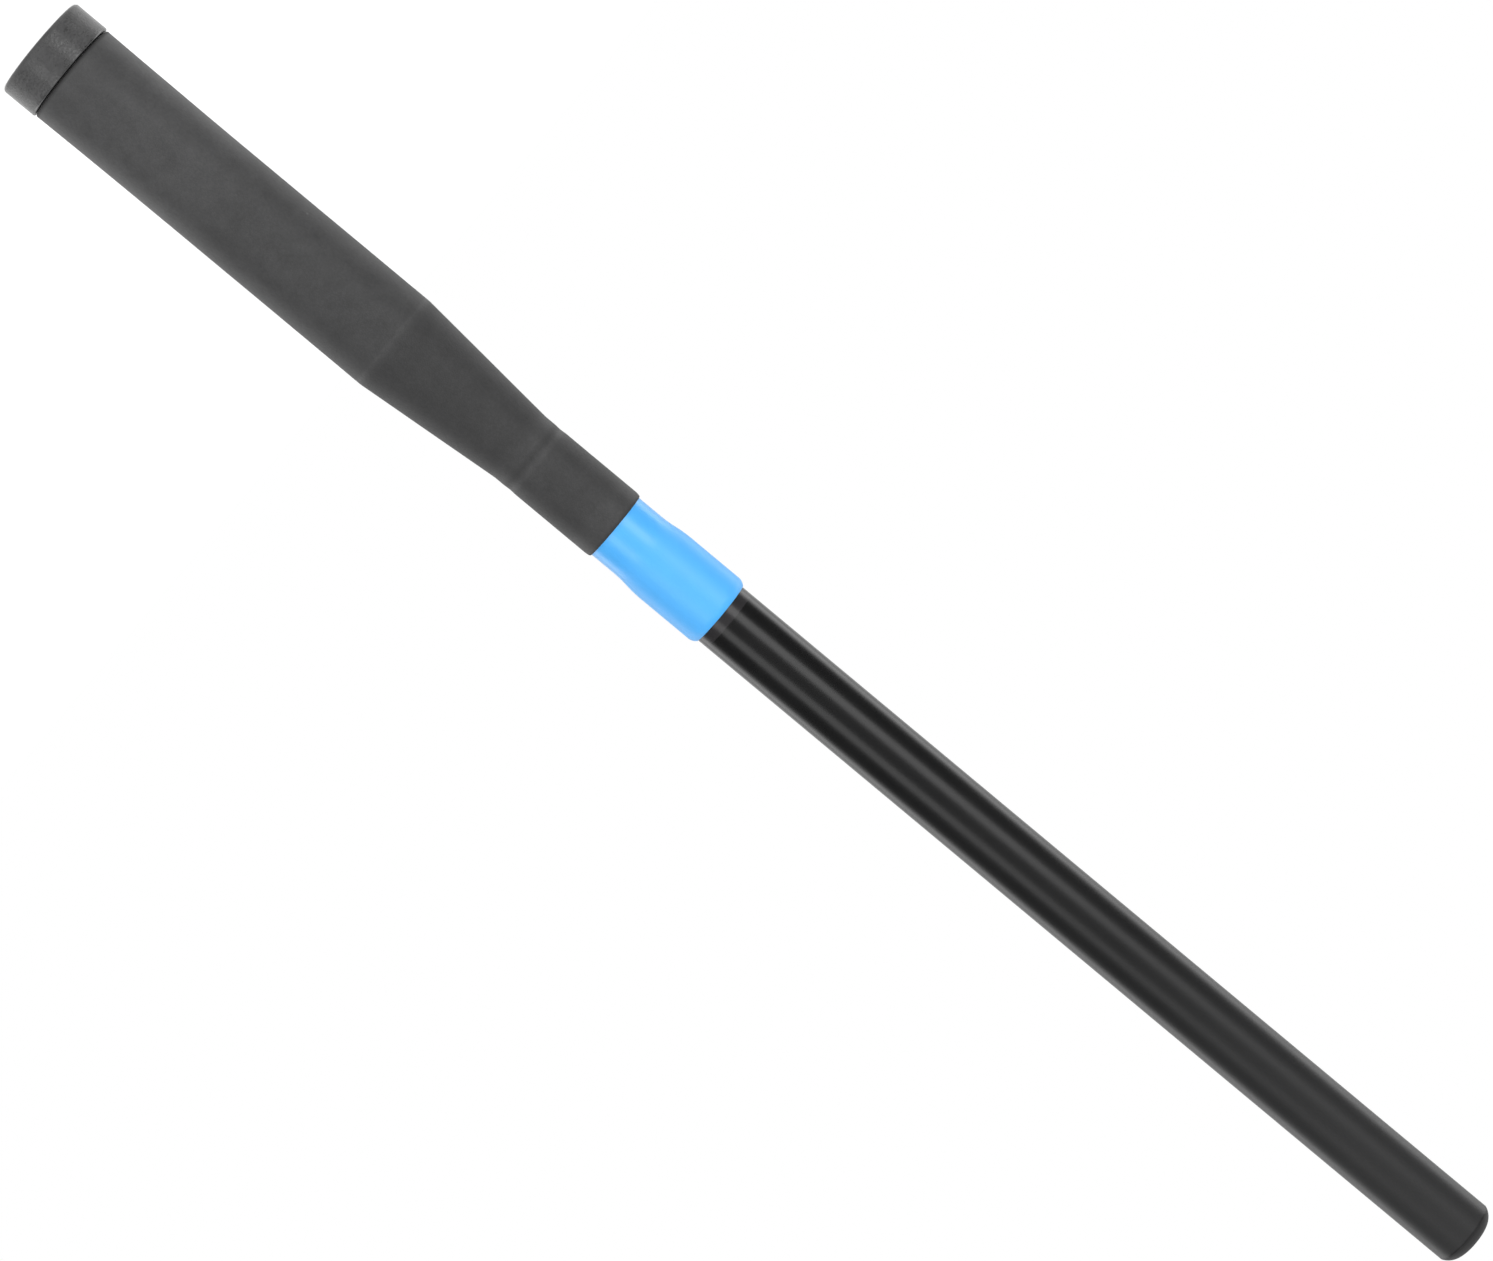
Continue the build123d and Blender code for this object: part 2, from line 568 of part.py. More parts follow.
# ---- Foam sleeve
def foam_sleeve():
    """Stretched foam skin from the bumper to the collar, flared a little at the bumper.

    Its end is thinner, where the collar's neck turns inside it.
    """
    end_z = Z_NECK_END + SLEEVE_OVERHANG
    thin_z = Z_COLLAR - FREE
    outer_r = BARREL_R + SKIN
    mouth_r = COLLAR_NECK_R + FREE
    sleeve = turned(
        (BARREL_R + GLUE, BUMPER_H), (outer_r + FLARE, BUMPER_H), (outer_r, BUMPER_H + FLARE_LEN),
        *reducer_outline(SKIN, end_z), (mouth_r, end_z), (mouth_r, thin_z),
        *reducer_outline(GLUE, thin_z)[::-1],
    )
    end_wall = NECK_R + SKIN - mouth_r
    return chamfer(rims(sleeve, NECK_R + SKIN, end_z), min(SLEEVE_END_CHAMFER, 0.7 * end_wall))


PARTS = {
    "bumper_cap": bumper_cap,
    "head_plug": head_plug,
    "head_plug_pins": head_plug_pins,
    "anvil_plate": anvil_plate,
    "anvil_screw": anvil_screw,
    "barrel_tube": barrel_tube,
    "striker_weight": striker_weight,
    "striker_guide_rings": striker_guide_rings,
    "stop_washer": stop_washer,
    "reducer_cone": reducer_cone,
    "reducer_pins": reducer_pins,
    "magnet_cup": magnet_cup,
    "magnet": magnet,
    "magnet_screw": magnet_screw,
    "push_rod": push_rod,
    "cam_follower": cam_follower,
    "cam_pin": cam_pin,
    "spine_tube": spine_tube,
    "spine_pins": spine_pins,
    "drag_rings": drag_rings,
    "thrust_washer": thrust_washer,
    "adjuster_collar": adjuster_collar,
    "mouth_bush": mouth_bush,
    "handle_tube": handle_tube,
    "handle_pins": handle_pins,
    "butt_plug": butt_plug,
    "foam_sleeve": foam_sleeve,
}

os.makedirs("parts", exist_ok=True)
for name, make in PARTS.items():
    shape = make()
    if isinstance(shape, list):
        shape = Compound(children=shape)
    export_step(shape, f"parts/{name}.step")
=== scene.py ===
"""Looks of the swing trainer stick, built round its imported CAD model.

The stick stands on its head, with its axis on +Z. Every length is in metres. The foam bumper and the
foam sleeve are modelled here; the other pieces keep their CAD shape and get their finish here.
"""
import json
import math

import bpy
from mathutils import Matrix, Vector, noise


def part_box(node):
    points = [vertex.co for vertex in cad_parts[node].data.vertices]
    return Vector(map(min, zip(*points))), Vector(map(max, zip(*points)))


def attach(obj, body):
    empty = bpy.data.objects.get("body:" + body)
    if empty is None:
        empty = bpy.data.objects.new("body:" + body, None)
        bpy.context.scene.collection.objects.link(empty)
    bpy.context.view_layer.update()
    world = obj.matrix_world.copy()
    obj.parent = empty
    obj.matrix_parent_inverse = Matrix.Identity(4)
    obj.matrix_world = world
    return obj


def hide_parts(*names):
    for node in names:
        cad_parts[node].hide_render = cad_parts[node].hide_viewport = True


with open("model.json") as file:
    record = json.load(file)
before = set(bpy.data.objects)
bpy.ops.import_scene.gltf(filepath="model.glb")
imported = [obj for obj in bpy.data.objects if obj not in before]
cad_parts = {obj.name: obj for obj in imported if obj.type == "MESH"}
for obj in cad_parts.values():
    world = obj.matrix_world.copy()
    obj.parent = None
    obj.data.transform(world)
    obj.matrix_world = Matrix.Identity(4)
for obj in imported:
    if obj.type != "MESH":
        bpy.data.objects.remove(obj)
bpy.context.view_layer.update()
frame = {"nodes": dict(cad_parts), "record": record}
nodes = frame["nodes"]
scene = bpy.context.scene

MM = 0.001

# ---- Camera: where it stands, and how the stick leans in its picture
CAMERA_DISTANCE = 2.01
CAMERA_UP = 0.173            # above the floor, near the upper end of the barrel
LENS = 132.5
SENSOR = 36.0
LEAN = math.radians(39.79)   # how far the stick points below the horizontal
MIDDLE_UP = 0.3355           # height on the stick of the picture's middle
MIDDLE_ASIDE = 0.0014        # the picture's middle from the stick's axis

# ---- Foam bumper: sizes that the boxes of the CAD nodes don't give
BUMPER_EDGE_R = 1.6 * MM
BUMPER_BACK_R = 0.7 * MM
STUB_R = 8.05 * MM           # recess for the plug's stub
STUB_H = 8.05 * MM
SEAM = 0.18 * MM             # what the bumper stands back from their joint, and the sleeve twice as much

# ---- Foam sleeve
GLUE = 0.05 * MM             # the glue line under the sleeve
SLEEVE_SKIN = 1.25 * MM
SLEEVE_FOOT_R = 0.5 * MM     # rounds of its lower end, outside and inside
SLEEVE_FOOT_INNER_R = 0.3 * MM
SLEEVE_FLARE = 0.45 * MM
SLEEVE_FLARE_LEN = 80 * MM
FLARE_STEPS = 5
TAPER_LEN = 59.5 * MM
TAPER_START_R = 12 * MM      # how softly the skin bends at the taper's two ends
TAPER_END_R = 24 * MM
NECK_R = 13.3 * MM
GROOVE_UP = 7 * MM           # middle of the shallow groove round the neck
GROOVE_REACH = 3 * MM
GROOVE_DEPTH = 0.15 * MM
GROOVE_STEPS = 4
SLEEVE_MOUTH_R = 13.85 * MM  # where the collar's neck turns inside the sleeve
SLEEVE_MOUTH_UP = 1.9 * MM   # depth of that thinner end
ROLL_LEN = 2.6 * MM          # over which the sleeve's end is rolled in
ROLL_SHARE = 0.9             # of the wall that the roll takes
ROLL_STEPS = 6

# ---- Meshes of the two foam pieces
SEGMENTS = 180
BUMPER_RUN = 0.8 * MM        # longest step along the outline
SLEEVE_RUN = 1.2 * MM

# ---- Where the finish of the collar changes, and the band of painted light on the handle
COLLAR_NECK_LEN = 12 * MM
COLLAR_SWELL_LEN = 8 * MM
# length of a band of painted light that the collar throws on the handle's coating
PAINTED_BAND_LEN = 4.1 * MM           # of the handle's coating beside the collar

# ---- Studio
LAMP_DISTANCE = 1.3          # from the stick's axis
FLOOR_SIZE = 60.0
FLOOR_GLOW = 0.72            # what the lit floor lacks to look white

# ---- Flecks of lint on the foam
LINT_SPACING = 22 * MM
LINT_REACH = 0.04            # of a fleck, as a share of that spacing
LINT_COVER = 0.35

# ---- Colours, in linear light
FOAM_GREY = (0.0444, 0.0444, 0.0451)
CAP_GREY = (0.028, 0.028, 0.0284)
LINT_GREY = (0.3, 0.3, 0.31)
COLLAR_BLUE = (0.064, 0.44, 0.965)
# painted light from the collar on a band of the handle's coating beside its mouth
PAINTED_COLLAR_LIGHT_GREY = (0.022, 0.0205, 0.022)
# painted light: the handle's black is painted lighter towards the butt, standing for how the lamps fall
# there
HANDLE_BLACKS_WITH_PAINTED_LIGHT = [            # by the share of the handle's length, from the collar's end to the butt
    (0.0, (0.0028, 0.0028, 0.003)),
    (0.25, (0.004, 0.004, 0.0042)),
    (0.55, (0.0075, 0.0075, 0.0077)),
    (0.85, (0.02, 0.02, 0.0204)),
    (1.0, (0.024, 0.024, 0.0244)),
]

# ---- Heights on the stick
cap_low, cap_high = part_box("bumper_cap")
sleeve_low, sleeve_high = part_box("foam_sleeve")
barrel_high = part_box("barrel_tube")[1]
collar_low, collar_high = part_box("adjuster_collar")
handle_low, handle_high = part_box("handle_tube")
taper_z = barrel_high.z
neck_z = taper_z + TAPER_LEN
groove_z = neck_z + GROOVE_UP


# ---- Geometry helpers
def rounded(points, radii, steps):
    """The outline of (radius, height) points with each corner turned into a round of its own radius."""
    out = []
    count = len(points)
    for i, radius in enumerate(radii):
        here = Vector(points[i])
        if radius == 0:
            out.append(tuple(here))
            continue
        before = (Vector(points[i - 1]) - here).normalized()
        after = (Vector(points[(i + 1) % count]) - here).normalized()
        half = before.angle(after) / 2
        reach = radius / math.tan(half)
        centre = here + (before + after).normalized() * radius / math.sin(half)
        start = here + before * reach - centre
        end = here + after * reach - centre
        for k in range(steps + 1):
            point = start.normalized().slerp(end.normalized(), k / steps)
            out.append(tuple(centre + point * radius))
    return out


def divided(outline, step, closed=True):
    """The outline with its long runs divided into short ones."""
    out = []
    last = len(outline) if closed else len(outline) - 1
    for i in range(last):
        a = Vector(outline[i])
        b = Vector(outline[(i + 1) % len(outline)])
        parts = max(1, round((b - a).length / step))
        out += [tuple(a.lerp(b, k / parts)) for k in range(parts)]
    if not closed:
        out.append(outline[-1])
    return out


def turned_faces(count, poles):
    """The faces of count rings of vertices: a closed ring, or a solid whose two poles come last."""
    faces = []
    for i in range(count - 1 if poles else count):
        row = i * SEGMENTS
        next_row = (i + 1) % count * SEGMENTS
        for k in range(SEGMENTS):
            k2 = (k + 1) % SEGMENTS
            faces.append((row + k, row + k2, next_row + k2, next_row + k))
    if poles:
        bottom = count * SEGMENTS
        top = bottom + 1
        last = (count - 1) * SEGMENTS
        for k in range(SEGMENTS):
            k2 = (k + 1) % SEGMENTS
            faces.append((bottom, k2, k))
            faces.append((top, last + k, last + k2))
    return faces


def turned(name, outline, relief):
    """A mesh turned about the stick's axis from an outline of (radius, height) points.

    The outline runs with its outside on the right, so up an outer wall. One that starts and ends on the
    axis makes a solid with two poles; any other is a ring.
    relief(point, outward) says how far a point stands proud of the outline.
    """
    poles = outline[0][0] == 0 and outline[-1][0] == 0
    rows = outline[1:-1] if poles else outline
    count = len(rows)
    verts = []
    for i, (radius, height) in enumerate(rows):
        a = Vector(rows[i - 1] if i or not poles else outline[0])
        b = Vector(rows[(i + 1) % count] if i < count - 1 or not poles else outline[-1])
        along = (b - a).normalized()
        normal = Vector((along.y, -along.x))
        for k in range(SEGMENTS):
            turn = math.tau * k / SEGMENTS
            axis = Vector((math.cos(turn), math.sin(turn), 0))
            point = axis * radius + Vector((0, 0, height))
            outward = axis * normal.x + Vector((0, 0, normal.y))
            verts.append(point + outward * relief(point, outward))
    if poles:
        verts += [Vector((0, 0, outline[0][1])), Vector((0, 0, outline[-1][1]))]
    mesh = bpy.data.meshes.new(name)
    mesh.from_pydata(verts, [], turned_faces(count, poles))
    mesh.validate()
    mesh.shade_smooth()
    obj = bpy.data.objects.new(name, mesh)
    scene.collection.objects.link(obj)
    return obj


def dents(point, size, depth, offset=(0, 0, 0)):
    """Depth from 0 to depth of soft dents that are about that size."""
    return depth * (1 + noise.noise(point / size + Vector(offset))) / 2


# ---- Shader helpers
def new_material(name):
    """A material with an empty Principled shader, and its node tree."""
    material = bpy.data.materials.new(name)
    material.use_nodes = True
    tree = material.node_tree
    shader = tree.nodes["Principled BSDF"]
    return material, tree, shader


def add(tree, kind, inputs=(), **settings):
    """A node with its settings made and its inputs set or linked."""
    node = tree.nodes.new(kind)
    for key, value in settings.items():
        setattr(node, key, value)
    for key, value in dict(inputs).items():
        if isinstance(value, bpy.types.NodeSocket):
            tree.links.new(value, node.inputs[key])
        else:
            node.inputs[key].default_value = value
    return node


def object_place(tree):
    """The point on the surface, in the object's own space."""
    return add(tree, "ShaderNodeTexCoord").outputs["Object"]


def height_of(tree, place):
    """How far up the stick a place is."""
    return add(tree, "ShaderNodeSeparateXYZ", {"Vector": place}).outputs["Z"]


def speckle(tree, size, place, detail=3.0):
    """Noise from 0 to 1 whose blotches are about that size, in metres."""
    return add(tree, "ShaderNodeTexNoise", {
        "Vector": place, "Scale": 1 / size, "Detail": detail, "Roughness": 0.6,
    }).outputs["Fac"]


def scatter(tree, size, place):
    """Distance, as a share of size, from the nearest of points that are scattered about that far apart."""
    return add(tree, "ShaderNodeTexVoronoi", {
        "Vector": place, "Scale": 1 / size, "Randomness": 1.0,
    }, feature="F1").outputs["Distance"]


def ramp(tree, value, stops, smooth=False):
    """A colour or grey that runs through (position, colour) stops."""
    node = add(tree, "ShaderNodeValToRGB", {"Fac": value})
    points = node.color_ramp.elements
    while len(points) < len(stops):
        points.new(0.5)
    for point, (position, colour) in zip(points, stops):
        point.position = position
        point.color = (*colour, 1) if isinstance(colour, tuple) else (colour, colour, colour, 1)
    if smooth:
        node.color_ramp.interpolation = "EASE"
    return node.outputs["Color"]


def map_range(tree, value, start, end, low=0.0, high=1.0, smooth=False):
    """low where value is at start, high where it is at end, and level past both."""
    return add(tree, "ShaderNodeMapRange", {
        "Value": value, "From Min": start, "From Max": end, "To Min": low, "To Max": high,
    }, interpolation_type="SMOOTHSTEP" if smooth else "LINEAR").outputs["Result"]


def spread(tree, value, low, high):
    """value, from 0 to 1, spread over low to high."""
    return map_range(tree, value, 0.0, 1.0, low, high)


def math_node(tree, operation, a, b):
    """One step of arithmetic on two numbers."""
    return add(tree, "ShaderNodeMath", {0: a, 1: b}, operation=operation).outputs["Value"]


def scaled(tree, colour, factor):
    """The colour times a factor."""
    node = add(tree, "ShaderNodeVectorMath", {0: colour, "Scale": factor}, operation="SCALE")
    return node.outputs["Vector"]


def blend(tree, share, first, second):
    """The colour first, which gives way to second as share goes from 0 to 1 (6 and 7 are colour sockets)."""
    return add(tree, "ShaderNodeMix", {0: share, 6: first, 7: (*second, 1)}, data_type="RGBA").outputs[2]


def choose(tree, share, first, second):
    """The number first where share is 0, and second where it is 1 (2 and 3 are number sockets)."""
    return add(tree, "ShaderNodeMix", {0: share, 2: first, 3: second}).outputs[0]


def bump(tree, height, depth, strength, under=None):
    """Surface relief of that depth in metres, on top of the relief under it."""
    inputs = {"Height": height, "Distance": depth, "Strength": strength}
    if under:
        inputs["Normal"] = under
    return add(tree, "ShaderNodeBump", inputs).outputs["Normal"]


def tint(colour, factor):
    """The colour made lighter or darker by a factor."""
    return tuple(channel * factor for channel in colour)


def clouded(tree, cloud, colour, unevenness, reach=0.2):
    """The colour, darker and lighter by unevenness where cloud is reach under and over its middle."""
    return ramp(tree, cloud, [
        (0.5 - reach, tint(colour, 1 - unevenness)), (0.5 + reach, tint(colour, 1 + unevenness)),
    ])


# ---- Foam
def foam(name, albedo, cell, blotch, unevenness, roughness, pit_depth, level=0.5, painted_shading=None):
    """Closed-cell foam: a satin skin of small cells, a slow mottling and a few light flecks of lint.

    painted_shading, if given, is (height, factor) pairs of painted shade and highlight along the stick;
    where it darkens the skin, the skin is also rougher.
    """
    material, tree, shader = new_material(name)
    place = object_place(tree)

    # Colour: mottling under cells and grit, with painted shading along the stick, and the lint on top
    mottle = speckle(tree, blotch, place, detail=4.0)
    cloud = speckle(tree, 24 * MM, place, detail=2.0)
    mottle_share = math_node(tree, "MULTIPLY", mottle, 0.6)
    cloud_share = math_node(tree, "MULTIPLY", cloud, 0.4)
    base = clouded(tree, math_node(tree, "ADD", mottle_share, cloud_share), albedo, unevenness, reach=0.12)
    cells = scatter(tree, cell, place)
    grit = speckle(tree, 1.3 * MM, place, detail=2.0)
    grit_range = 0.22 + unevenness / 3
    shade = math_node(tree, "MULTIPLY", spread(tree, cells, 1.08, 0.88),
                      spread(tree, grit, 1 - grit_range, 1 + grit_range))
    rough = spread(tree, speckle(tree, 2 * cell, place), roughness - 0.05, roughness + 0.05)
    # painted shade and highlight along the stick darken and lighten the foam's colour, and make its darker
    # parts rougher
    if painted_shading:
        top = painted_shading[-1][0]
        share = math_node(tree, "DIVIDE", height_of(tree, place), top)
        painted_tone = ramp(tree, share, [(z / top, factor) for z, factor in painted_shading], smooth=True)
        shade = math_node(tree, "MULTIPLY", shade, painted_tone)
        rough = math_node(tree, "ADD", rough, spread(tree, painted_tone, 0.3, 0.0))
    lint = map_range(tree, scatter(tree, LINT_SPACING, place), LINT_REACH, LINT_REACH / 4, high=LINT_COVER)
    tree.links.new(blend(tree, lint, scaled(tree, base, shade), LINT_GREY), shader.inputs["Base Color"])
    tree.links.new(rough, shader.inputs["Roughness"])

    # Relief: the cells' pits, a fine grain on them, and slow waves
    pits = bump(tree, cells, pit_depth, 0.7)
    grain = bump(tree, speckle(tree, 0.3 * MM, place, detail=2.0), 0.035 * MM, 0.6, under=pits)
    waves = bump(tree, mottle, 0.1 * MM, 0.6, under=grain)
    tree.links.new(waves, shader.inputs["Normal"])
    shader.inputs["Specular IOR Level"].default_value = level
    return material


def skin_painted_shading():
    """The sleeve's painted shading along its height: painted shade in the joint with the bumper, along the
    barrel, on the taper and at the rolled end, and painted highlight and shade on the crease and on the
    groove's two slopes.
    """
    joint = sleeve_low.z
    end = sleeve_high.z
    # every stop below is painted light: painted shade where the factor is low, painted highlight where it is
    # high
    shaded_joint = [(joint + 0.7 * MM, 0.3), (joint + 1.4 * MM, 0.97)]
    barrel = [(taper_z - 104 * MM, 0.95), (taper_z - 70 * MM, 0.78), (taper_z - 45 * MM, 0.74),
              (taper_z - 10 * MM, 0.69), (taper_z - 2.3 * MM, 0.72)]
    tube_edge = [(taper_z - 1.3 * MM, 0.88), (taper_z + 0.1 * MM, 0.62)]
    taper = [(taper_z + 2.5 * MM, 0.54), (taper_z + 16 * MM, 0.56), (groove_z - 14 * MM, 0.56)]
    ring = [(groove_z - 4 * MM, 0.73), (groove_z - 1.8 * MM, 0.58), (groove_z + 0.8 * MM, 0.9),
            (groove_z + 3 * MM, 0.66)]
    neck = [(groove_z + 9 * MM, 0.6), (end - 13 * MM, 0.6), (end - 7 * MM, 0.72), (end - 1.3 * MM, 0.72)]
    rolled_edge = [(end - 0.3 * MM, 0.45)]
    return shaded_joint + barrel + tube_edge + taper + ring + neck + rolled_edge


# ---- Coated handle tube
def handle_coat():
    """Smooth black coating, glossy by the collar and duller towards the butt, with a fine even grain; its
    black is painted lighter towards the butt, which is painted light standing for how the lamps fall there.

    A narrow greyer band beside the collar's mouth is painted light from the collar, and painted shade
    darkens the joint to the plug.
    """
    material, tree, shader = new_material("handle_coat")
    place = object_place(tree)
    height = height_of(tree, place)
    along = map_range(tree, height, handle_low.z, handle_high.z)
    cloud = speckle(tree, 14 * MM, place)
    grain = speckle(tree, 0.45 * MM, place, detail=2.0)
    rough = math_node(tree, "ADD", spread(tree, along, 0.25, 0.43), spread(tree, cloud, -0.03, 0.03))
    rough = math_node(tree, "ADD", rough, spread(tree, grain, -0.02, 0.02))
    tree.links.new(rough, shader.inputs["Roughness"])
    # a greyer band beside the collar's mouth: painted light from the collar on the coating
    painted_band_end = collar_high.z + PAINTED_BAND_LEN
    painted_collar_light = map_range(tree, height, painted_band_end + 0.3 * MM, painted_band_end)
    # the black, painted lighter towards the butt, with the band of painted light from the collar
    black_with_painted_light = blend(tree, painted_collar_light, ramp(tree, along, HANDLE_BLACKS_WITH_PAINTED_LIGHT), PAINTED_COLLAR_LIGHT_GREY)
    # painted shade in the joint to the plug: the top of the handle is darkened
    joint_shade = map_range(tree, height, handle_high.z - 0.3 * MM, handle_high.z - 0.8 * MM, low=0.4)
    shade = math_node(tree, "MULTIPLY", spread(tree, grain, 0.76, 1.24), joint_shade)
    tree.links.new(scaled(tree, black_with_painted_light, shade), shader.inputs["Base Color"])
    tree.links.new(bump(tree, grain, 0.004 * MM, 0.6), shader.inputs["Normal"])
    shader.inputs["IOR"].default_value = 1.4
    return material


# ---- Collar
def collar_plastic():
    """Light blue moulded plastic: its neck is smooth, and its body has a fine satin texture for the hand."""
    material, tree, shader = new_material("collar_blue")
    place = object_place(tree)
    swell_z = collar_low.z + COLLAR_NECK_LEN
    body = map_range(tree, height_of(tree, place), swell_z, swell_z + COLLAR_SWELL_LEN, smooth=True)
    cloud = speckle(tree, 9 * MM, place)
    grain = speckle(tree, 0.5 * MM, place, detail=2.0)
    base = clouded(tree, cloud, COLLAR_BLUE, 0.015)
    tree.links.new(scaled(tree, base, spread(tree, grain, 0.96, 1.04)), shader.inputs["Base Color"])
    rough = math_node(tree, "ADD", spread(tree, body, 0.3, 0.46), spread(tree, cloud, -0.04, 0.04))
    tree.links.new(rough, shader.inputs["Roughness"])
    tree.links.new(bump(tree, grain, 0.01 * MM, spread(tree, body, 0.15, 0.6)), shader.inputs["Normal"])
    shader.inputs["Coat Weight"].default_value = 0.35
    shader.inputs["Coat Roughness"].default_value = 0.6
    return material


# ---- Moulded plastics, rubber and metals
def moulded(name, colour, roughness, grain_size=0.3 * MM, grain_depth=0.01 * MM, metallic=0.0,
            unevenness=0.06, shaded_joint=None):
    """A moulded, turned or plated finish: a slightly clouded colour, with grain in its gloss and relief.

    The height of a joint may be given; up to just above it the colour is darkened by painted shade, standing
    for the shadow in the joint.
    """
    material, tree, shader = new_material(name)
    place = object_place(tree)
    cloud = speckle(tree, 9 * MM, place)
    grain = speckle(tree, grain_size, place, detail=2.0)
    base = clouded(tree, cloud, colour, unevenness)
    # painted shade just above the joint
    if shaded_joint:
        joint_shade = map_range(tree, height_of(tree, place), shaded_joint + 0.5 * MM, shaded_joint + 1.1 * MM, low=0.3)
        base = scaled(tree, base, joint_shade)
    tree.links.new(base, shader.inputs["Base Color"])
    rough = math_node(tree, "ADD", spread(tree, cloud, roughness - 0.04, roughness + 0.04),
                      spread(tree, grain, -0.03, 0.03))
    tree.links.new(rough, shader.inputs["Roughness"])
    tree.links.new(bump(tree, grain, grain_depth, 0.5), shader.inputs["Normal"])
    shader.inputs["Metallic"].default_value = metallic
    return material


MOULDED = {
    # the butt plug gets painted shade just above its joint to the handle
    "butt_plastic": dict(colour=(0.012, 0.012, 0.0124), roughness=0.6, grain_size=0.4 * MM,
                         shaded_joint=handle_high.z),
    "black_abs": dict(colour=(0.02, 0.02, 0.021), roughness=0.5),
    "black_nylon": dict(colour=(0.024, 0.024, 0.026), roughness=0.55),
    "black_rubber": dict(colour=(0.03, 0.03, 0.031), roughness=0.75, grain_depth=0.02 * MM),
    "white_nylon": dict(colour=(0.78, 0.77, 0.73), roughness=0.5, unevenness=0.02),
    "steel": dict(colour=(0.56, 0.56, 0.57), roughness=0.32, metallic=1.0, unevenness=0.04),
    "bare_aluminium": dict(colour=(0.78, 0.78, 0.79), roughness=0.38, metallic=1.0, unevenness=0.03),
    "magnet_nickel": dict(colour=(0.62, 0.6, 0.56), roughness=0.16, metallic=1.0, unevenness=0.02),
    "brass": dict(colour=(0.72, 0.52, 0.24), roughness=0.3, metallic=1.0, unevenness=0.05),
}


# ---- Every CAD piece gets the finish that its record names
materials = {
    "sleeve_foam": foam("sleeve_foam", FOAM_GREY, cell=0.7 * MM, blotch=6 * MM, unevenness=0.13,
                        roughness=0.52, pit_depth=0.06 * MM, painted_shading=skin_painted_shading()),
    "bumper_foam": foam("bumper_foam", CAP_GREY, cell=1.1 * MM, blotch=4.5 * MM, unevenness=0.45,
                        roughness=0.28, pit_depth=0.09 * MM, level=0.75),
    "handle_coating": handle_coat(),
    "collar_blue": collar_plastic(),
}
for name, finish in MOULDED.items():
    materials[name] = moulded(name, **finish)

for part in frame["record"]["subparts"]:
    mesh = nodes[part["node"]].data
    mesh.materials.clear()
    mesh.materials.append(materials[part["material_slot"]])


# ---- Foam bumper
def bumper_outline():
    """The bumper's half section from the flat face up: disc, rounded edges, and the stub's recess."""
    radius = cap_high.x
    top = cap_high.z - SEAM
    recess_z = cap_high.z - STUB_H
    points = [(0, cap_low.z), (radius, cap_low.z), (radius, top), (STUB_R, top), (STUB_R, recess_z),
              (0, recess_z)]
    return rounded(points, [0, BUMPER_EDGE_R, BUMPER_BACK_R, 0, 0, 0], steps=8)


def bumper_relief(point, outward):
    """Slow dents and coarse cells, faded out inside the recess and on the face that meets the sleeve."""
    inside = point.x ** 2 + point.y ** 2 < (STUB_R + MM) ** 2 and point.z > cap_low.z + MM
    fade = 0.0 if inside else max(0.0, min(1.0, (cap_high.z - point.z) / MM))
    slow = dents(point, 16 * MM, 0.05 * MM)
    coarse = dents(point, 2.2 * MM, 0.045 * MM, offset=(7, 3, 1))
    return -fade * (slow + coarse)


bumper = turned("foam_bumper", divided(bumper_outline(), BUMPER_RUN, closed=False), bumper_relief)
bumper.data.materials.append(materials["bumper_foam"])
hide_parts("bumper_cap")
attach(bumper, "stick")


# ---- Foam sleeve
def quarter(step, steps):
    """The angle of one step of a quarter turn."""
    return math.pi / 2 * step / steps


def sleeve_outline():
    """The sleeve's section, up the outside and down the inside.

    It flares to the bumper, tapers to the neck, dips into the groove and is rolled in at its end, where a
    thinner part reaches over the collar's neck.
    """
    start_z = sleeve_low.z + 2 * SEAM
    end_z = sleeve_high.z
    thin_z = end_z - SLEEVE_MOUTH_UP
    outer_r = barrel_high.x + SLEEVE_SKIN
    outer_neck_r = NECK_R + SLEEVE_SKIN
    inner_r = barrel_high.x + GLUE
    inner_neck_r = NECK_R + GLUE
    flare = [(outer_r + SLEEVE_FLARE * (1 - k / FLARE_STEPS) ** 2,
              start_z + SLEEVE_FLARE_LEN * k / FLARE_STEPS) for k in range(FLARE_STEPS + 1)]
    groove = [(GROOVE_DEPTH * math.cos(quarter(k, GROOVE_STEPS)) ** 2,
               groove_z + GROOVE_REACH * k / GROOVE_STEPS) for k in range(-GROOVE_STEPS, GROOVE_STEPS + 1)]
    roll_depth = ROLL_SHARE * (outer_neck_r - SLEEVE_MOUTH_R)
    roll = [(outer_neck_r - roll_depth * (1 - math.cos(quarter(k, ROLL_STEPS))),
             end_z - ROLL_LEN * (1 - math.sin(quarter(k, ROLL_STEPS)))) for k in range(ROLL_STEPS + 1)]
    outside = flare + [(outer_r, taper_z), (outer_neck_r, neck_z)]
    outside += [(outer_neck_r - depth, z) for depth, z in groove] + roll
    outside_radii = [SLEEVE_FOOT_R] + [0] * FLARE_STEPS + [TAPER_START_R, TAPER_END_R]
    outside_radii += [0] * (len(groove) + len(roll))
    inside = [(SLEEVE_MOUTH_R, end_z), (SLEEVE_MOUTH_R, thin_z), (inner_neck_r, thin_z)]
    inside += [(inner_neck_r - depth, z) for depth, z in reversed(groove)]
    inside += [(inner_neck_r, neck_z), (inner_r, taper_z), (inner_r, start_z)]
    inside_radii = [0] * (len(inside) - 1) + [SLEEVE_FOOT_INNER_R]
    return rounded(outside + inside, outside_radii + inside_radii, steps=5)


